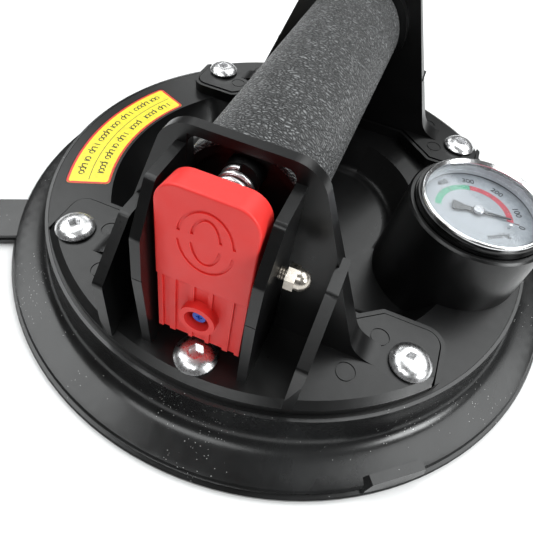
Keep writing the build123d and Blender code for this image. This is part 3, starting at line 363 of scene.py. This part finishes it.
EDGES = {
    "front_leg": 0.0005,
    "rear_leg": 0.0005,
    "base_plate": 0.0003,
    "release_lever": 0.0004,
    "gauge_housing": 0.0003,
    "foot_screws": 0.00015,
    "lever_acorn_nut": 0.0001,
    "gauge_needle": 0.00005,
}
for node_name, width in EDGES.items():
    soften(node_name, width)


# ---------------------------------------------------------------- new pieces


def piece(name, bm, material, body):
    """A new object in the row frame, riding on a body."""
    mesh = bpy.data.meshes.new(name)
    bmesh.ops.recalc_face_normals(bm, faces=bm.faces)
    bm.to_mesh(mesh)
    bm.free()
    made = bpy.data.objects.new(name, mesh)
    bpy.context.scene.collection.objects.link(made)
    mesh.materials.append(material)
    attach(made, body)


def skin(bm, rows):
    """Close a row of equal sections into one solid with flat ends."""
    size = len(rows[0])
    for first, second in zip(rows, rows[1:]):
        for i in range(size):
            j = (i + 1) % size
            bm.faces.new((first[i], first[j], second[j], second[i]))
    bm.faces.new(rows[0][::-1])
    bm.faces.new(rows[-1])


def arc_slab(bm, centre, inner, outer, start, end, low, high, step=2.0):
    """A closed slab between two radii and two angles, in degrees."""
    count = max(2, int(abs(end - start) / step) + 1)
    rows = []
    for k in range(count):
        angle = radians(start + (end - start) * k / (count - 1))
        way = Vector((cos(angle), sin(angle), 0))
        rows.append([
            bm.verts.new(Vector(centre) + way * radius + Vector((0, 0, z)))
            for radius, z in ((inner, low), (outer, low), (outer, high), (inner, high))
        ])
    skin(bm, rows)


GAUGE_LOW, GAUGE_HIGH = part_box("gauge_dial")
PRINT_SHIFT = (-1.0 * MM, -0.5 * MM)
GAUGE_CENTRE = (
    (GAUGE_LOW.x + GAUGE_HIGH.x) / 2 + PRINT_SHIFT[0],
    (GAUGE_LOW.y + GAUGE_HIGH.y) / 2 + PRINT_SHIFT[1],
    0,
)
DIAL_TOP = GAUGE_HIGH.z
INK = 0.00003
INK_SINK = 0.00001
BAND_IN = 10.6 * MM
BAND_OUT = 12.75 * MM
BAND_SPLIT = 102.5
BAND_END = 188.0
SCALE_ZERO = 5.0
SCALE_FIRST = 28.0
SCALE_STEP = 37.5
LONG_MARKS = [SCALE_FIRST + k * SCALE_STEP for k in range(4)]
SHORT_MARKS = [(SCALE_ZERO + SCALE_FIRST) / 2] + [mark + SCALE_STEP / 2 for mark in LONG_MARKS]
LONG_HALF = 0.5
SHORT_HALF = 0.3
SHORT_CUT = 1.2 * MM
ZERO_MARK = (BAND_OUT + 0.1 * MM, 14.6 * MM, 4.0, 5.6)
NUMBER_SIZE = 2.9 * MM
STROKE_GAIN = 0.000012
MERGE_GAP = 1e-7
NUMBERS = (
    ("0", 15.3, 1.0),
    ("100", 15.0, 27.0),
    ("200", 15.0, 65.0),
    ("300", 15.0, 104.0),
    ("400", 15.0, 141.0),
)


def dial_print():
    """The coloured band and its marks."""
    floor = DIAL_TOP - INK_SINK
    bands = (
        ("dial_band_red", SCALE_ZERO, BAND_SPLIT, BAND_RED),
        ("dial_band_green", BAND_SPLIT, BAND_END, BAND_GREEN),
    )
    for name, start, end, material in bands:
        bm = bmesh.new()
        arc_slab(bm, GAUGE_CENTRE, BAND_IN, BAND_OUT, start, end, floor, DIAL_TOP + INK)
        piece(name, bm, material, "frame")
    bm = bmesh.new()
    top = DIAL_TOP + 2 * INK
    for mark in LONG_MARKS:
        arc_slab(bm, GAUGE_CENTRE, BAND_IN, BAND_OUT, mark - LONG_HALF, mark + LONG_HALF, floor, top)
    for mark in SHORT_MARKS:
        start, end = mark - SHORT_HALF, mark + SHORT_HALF
        arc_slab(bm, GAUGE_CENTRE, BAND_IN + SHORT_CUT, BAND_OUT, start, end, floor, top)
    arc_slab(bm, GAUGE_CENTRE, *ZERO_MARK, floor, top)
    piece("dial_marks", bm, BAND_LINE, "frame")


def dial_text(name, words, radius, angle, size, turn=None):
    """Flat lettering on the dial, upright away from the centre."""
    curve = bpy.data.curves.new(name, "FONT")
    curve.body = words
    curve.size = size
    curve.extrude = INK
    curve.align_x = "CENTER"
    curve.align_y = "CENTER"
    curve.offset = STROKE_GAIN
    holder = bpy.data.objects.new(name + "_curve", curve)
    bpy.context.scene.collection.objects.link(holder)
    bpy.context.view_layer.update()
    mesh = bpy.data.meshes.new_from_object(holder.evaluated_get(bpy.context.evaluated_depsgraph_get()))
    bpy.data.objects.remove(holder)
    spot = radians(angle)
    facing = radians(angle - 90 if turn is None else turn)
    mesh.transform(
        Matrix.Translation((
            GAUGE_CENTRE[0] + radius * cos(spot),
            GAUGE_CENTRE[1] + radius * sin(spot),
            DIAL_TOP + INK,
        ))
        @ Matrix.Rotation(facing, 4, "Z")
    )
    bm = bmesh.new()
    bm.from_mesh(mesh)
    bmesh.ops.remove_doubles(bm, verts=bm.verts, dist=MERGE_GAP)
    piece(name, bm, INK_DARK, "frame")


def dial_numbers():
    """The numbers along the band, and the unit below the hub."""
    for words, radius, angle in NUMBERS:
        dial_text(f"dial_number_{words}", words, radius * MM, angle, NUMBER_SIZE)
    dial_text("dial_unit", "mmHg", 11.0 * MM, -40.0, NUMBER_SIZE, 33.0)


LABEL_LOW, LABEL_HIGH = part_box("caution_label")
LABEL_TOP = LABEL_HIGH.z
LABEL_IN = 68.45 * MM
LABEL_OUT = 84.25 * MM
LABEL_FROM = 156.15
LABEL_TO = 205.35
LABEL_MARGIN = 0.85 * MM
LABEL_ROUND = 1.9 * MM
LABEL_RULE_HALF = 0.1 * MM
LABEL_ROWS = ((3.5 * MM, (5, 3, 7, 3, 7)), (-3.4 * MM, (4, 5, 3, 4, 4, 3)))
ROW_INSET = 3.5
PLATE_CENTRE = (0, 0, 0)
FINE_STEP = 0.4
MARK_LINE = 0.42 * MM
MARK_RADIUS = 1.15 * MM
MARK_KINDS = 5
STEM_LONG = 3.1 * MM
STEM_SHORT = 2.3 * MM
STEM_SHIFT = 0.34


def label_border(floor, top):
    """A red line round the label, with rounded corners."""
    turn = LABEL_MARGIN / LABEL_IN * 180 / pi
    bm = bmesh.new()
    for low, high, inset in (
        (LABEL_OUT - LABEL_MARGIN, LABEL_OUT, 1.3),
        (LABEL_IN, LABEL_IN + LABEL_MARGIN, 1.6),
    ):
        arc_slab(bm, PLATE_CENTRE, low, high, LABEL_FROM + inset, LABEL_TO - inset, floor, top)
    low, high = LABEL_IN + LABEL_ROUND, LABEL_OUT - LABEL_ROUND
    for start, end in ((LABEL_FROM, LABEL_FROM + turn), (LABEL_TO - turn, LABEL_TO)):
        arc_slab(bm, PLATE_CENTRE, low, high, start, end, floor, top, FINE_STEP)
    for radius, side in ((LABEL_IN, 1), (LABEL_OUT, -1)):
        for angle, way in ((LABEL_FROM, 1), (LABEL_TO, -1)):
            corner(bm, radius, side, angle, way, floor, top)
    piece("label_border", bm, INK_RED, "frame")


def label_print():
    """Border, dividing line and two rows of plain marks in place of wording."""
    floor = LABEL_TOP - INK_SINK
    top = LABEL_TOP + INK
    label_border(floor, top)
    bm = bmesh.new()
    middle = (LABEL_IN + LABEL_OUT) / 2
    low, high = middle - LABEL_RULE_HALF, middle + LABEL_RULE_HALF
    arc_slab(bm, PLATE_CENTRE, low, high, LABEL_FROM + 1.6, LABEL_TO - 1.6, floor, top)
    for shift, words in LABEL_ROWS:
        places = sum(words) + len(words) - 1
        pitch = (LABEL_TO - LABEL_FROM - 2 * ROW_INSET) / places
        at = LABEL_TO - ROW_INSET
        for count in words:
            for k in range(count):
                kind = (k * 3 + count) % MARK_KINDS
                label_mark(bm, kind, middle + shift, at - pitch * 0.5, pitch, floor, top)
                at -= pitch
            at -= pitch
    piece("label_marks", bm, INK_DARK, "frame")


def label_mark(bm, kind, radius, angle, pitch, floor, top):
    """One plain printed mark: a ring, a stem, or a ring with a stem, with no meaning."""
    turn = radians(angle)
    centre = (radius * cos(turn), radius * sin(turn), 0)
    inner = MARK_RADIUS - MARK_LINE
    if kind in (0, 2, 3):
        arc_slab(bm, centre, inner, MARK_RADIUS, 0, 330, floor, top, 30)
    if kind == 1:
        arc_slab(bm, centre, inner, MARK_RADIUS, angle - 90, angle + 90, floor, top, 30)
    if kind in (1, 3, 4):
        foot = radius - MARK_RADIUS
        head = foot + (STEM_LONG if kind == 3 else STEM_SHORT)
        half = MARK_LINE / radius * 90 / pi
        start = angle - pitch * STEM_SHIFT - half
        end = angle - pitch * STEM_SHIFT + half
        arc_slab(bm, PLATE_CENTRE, foot, head, start, end, floor, top, FINE_STEP)


def corner(bm, radius, side, angle, way, floor, top):
    """One rounded corner of the label's border."""
    steps = 6
    rows = []
    for k in range(steps + 1):
        turn = pi / 2 * k / steps
        row = []
        for size in (LABEL_ROUND, LABEL_ROUND - LABEL_MARGIN):
            inward = LABEL_ROUND - size * cos(turn)
            along = LABEL_ROUND - size * sin(turn)
            r = radius + side * inward
            a = radians(angle) + way * along / radius
            for z in (floor, top):
                row.append(bm.verts.new((r * cos(a), r * sin(a), z)))
        rows.append((row[0], row[1], row[3], row[2]))
    skin(bm, rows)


EAR_SIDE = 15.6 * MM
THREAD_PITCH = 0.55 * MM
THREAD_STEPS = 24
THREAD_SECTION = ((1.48, -0.24), (1.7, 0.0), (1.48, 0.24))


def bolt_thread():
    """The few threads that show between the lever's ear and its nut."""
    low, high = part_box("lever_pivot_bolt")
    nut_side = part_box("lever_acorn_nut")[0].x
    axis_y, axis_z = (low.y + high.y) / 2, (low.z + high.z) / 2
    bm = bmesh.new()
    turns = (nut_side - EAR_SIDE) / THREAD_PITCH
    count = int(turns * THREAD_STEPS)
    rows = []
    for k in range(count + 1):
        angle = 2 * pi * k / THREAD_STEPS
        x = EAR_SIDE + (nut_side - EAR_SIDE) * k / count
        rows.append([
            bm.verts.new((
                min(max(x + shift * MM, EAR_SIDE), nut_side),
                axis_y + radius * MM * cos(angle),
                axis_z + radius * MM * sin(angle),
            ))
            for radius, shift in THREAD_SECTION
        ])
    skin(bm, rows)
    bmesh.ops.remove_doubles(bm, verts=bm.verts, dist=MERGE_GAP)
    piece("bolt_thread", bm, LOOKS["nickel"], "frame")


dial_print()
dial_numbers()
label_print()
bolt_thread()


# ---------------------------------------------------------------- floor, lights and camera


FLOOR_HALF = 4.0
FLOOR_DROP = 0.0001
LIGHT_TINT = (0.98, 1.0, 1.0)
LIGHT_REACH = 1.2
SOFTBOXES = (
    ("left_box", -76, 54, (1.0, 0.75), 3.7),
    ("right_box", 40, 57, (1.2, 0.75), 3.7),
    ("side_box", 104, 32, (0.4, 0.35), 15.0),
    ("front_box", 196, 57, (0.7, 0.35), 4.4),
    ("rear_left_box", -25, 31, (0.4, 0.25), 2.6),
)
CAMERA_TURNS = (14.702, 52.732, 9.488)
CAMERA_TARGET = Vector((1.173, -24.197, 0)) * MM
CAMERA_DISTANCE = 173.957 * MM
CAMERA_LENS = 30.13


def floor():
    """A plain pale floor that runs far out."""
    look = Look("floor_white", (0.93, 0.93, 0.93), 0.9, Specular_IOR_Level=0.1)
    soft = look.noise(8, 2)
    look.colour(look.blend(soft, (0.92, 0.92, 0.92), (0.94, 0.94, 0.94)))
    bm = bmesh.new()
    bmesh.ops.create_grid(bm, x_segments=8, y_segments=8, size=FLOOR_HALF)
    mesh = bpy.data.meshes.new("floor")
    bm.to_mesh(mesh)
    bm.free()
    made = bpy.data.objects.new("floor", mesh)
    made.location.z = -FLOOR_DROP
    mesh.materials.append(look.mat)
    bpy.context.scene.collection.objects.link(made)


def world(strength):
    """Even white surroundings."""
    made = bpy.data.worlds.new("studio")
    bpy.context.scene.world = made
    made.use_nodes = True
    background = made.node_tree.nodes["Background"]
    background.inputs["Color"].default_value = (1, 1, 1, 1)
    background.inputs["Strength"].default_value = strength


def softbox(name, bearing, height, size, brightness):
    """An area light aimed at the object, placed by its bearing from +Y and its height, in degrees."""
    turn, rise = radians(bearing), radians(height)
    way = Vector((sin(turn) * cos(rise), cos(turn) * cos(rise), sin(rise)))
    data = bpy.data.lights.new(name, "AREA")
    data.shape = "RECTANGLE"
    data.size, data.size_y = size
    data.energy = brightness * pi * size[0] * size[1]
    data.color = LIGHT_TINT
    made = bpy.data.objects.new(name, data)
    made.location = way * LIGHT_REACH
    made.rotation_euler = (-way).to_track_quat("-Z", "Y").to_euler()
    bpy.context.scene.collection.objects.link(made)


def camera():
    """The viewing angle, from close above the release lever."""
    azimuth, elevation, roll = (radians(turn) for turn in CAMERA_TURNS)
    back = Vector((sin(azimuth) * cos(elevation), -cos(azimuth) * cos(elevation), sin(elevation)))
    right = (-back).cross(Vector((0, 0, 1))).normalized()
    up = right.cross(-back)
    tilted_right = cos(roll) * right + sin(roll) * up
    tilted_up = cos(roll) * up - sin(roll) * right
    turn = Matrix((tilted_right, tilted_up, back)).transposed().to_4x4()
    data = bpy.data.cameras.new("camera")
    data.lens = CAMERA_LENS
    data.sensor_width = 36
    data.clip_start = 0.005
    made = bpy.data.objects.new("camera", data)
    made.matrix_world = Matrix.Translation(CAMERA_TARGET + back * CAMERA_DISTANCE) @ turn
    bpy.context.scene.collection.objects.link(made)
    bpy.context.scene.camera = made


floor()
world(0.09)
for box in SOFTBOXES:
    softbox(*box)
camera()
bpy.context.scene.view_settings.view_transform = "Standard"
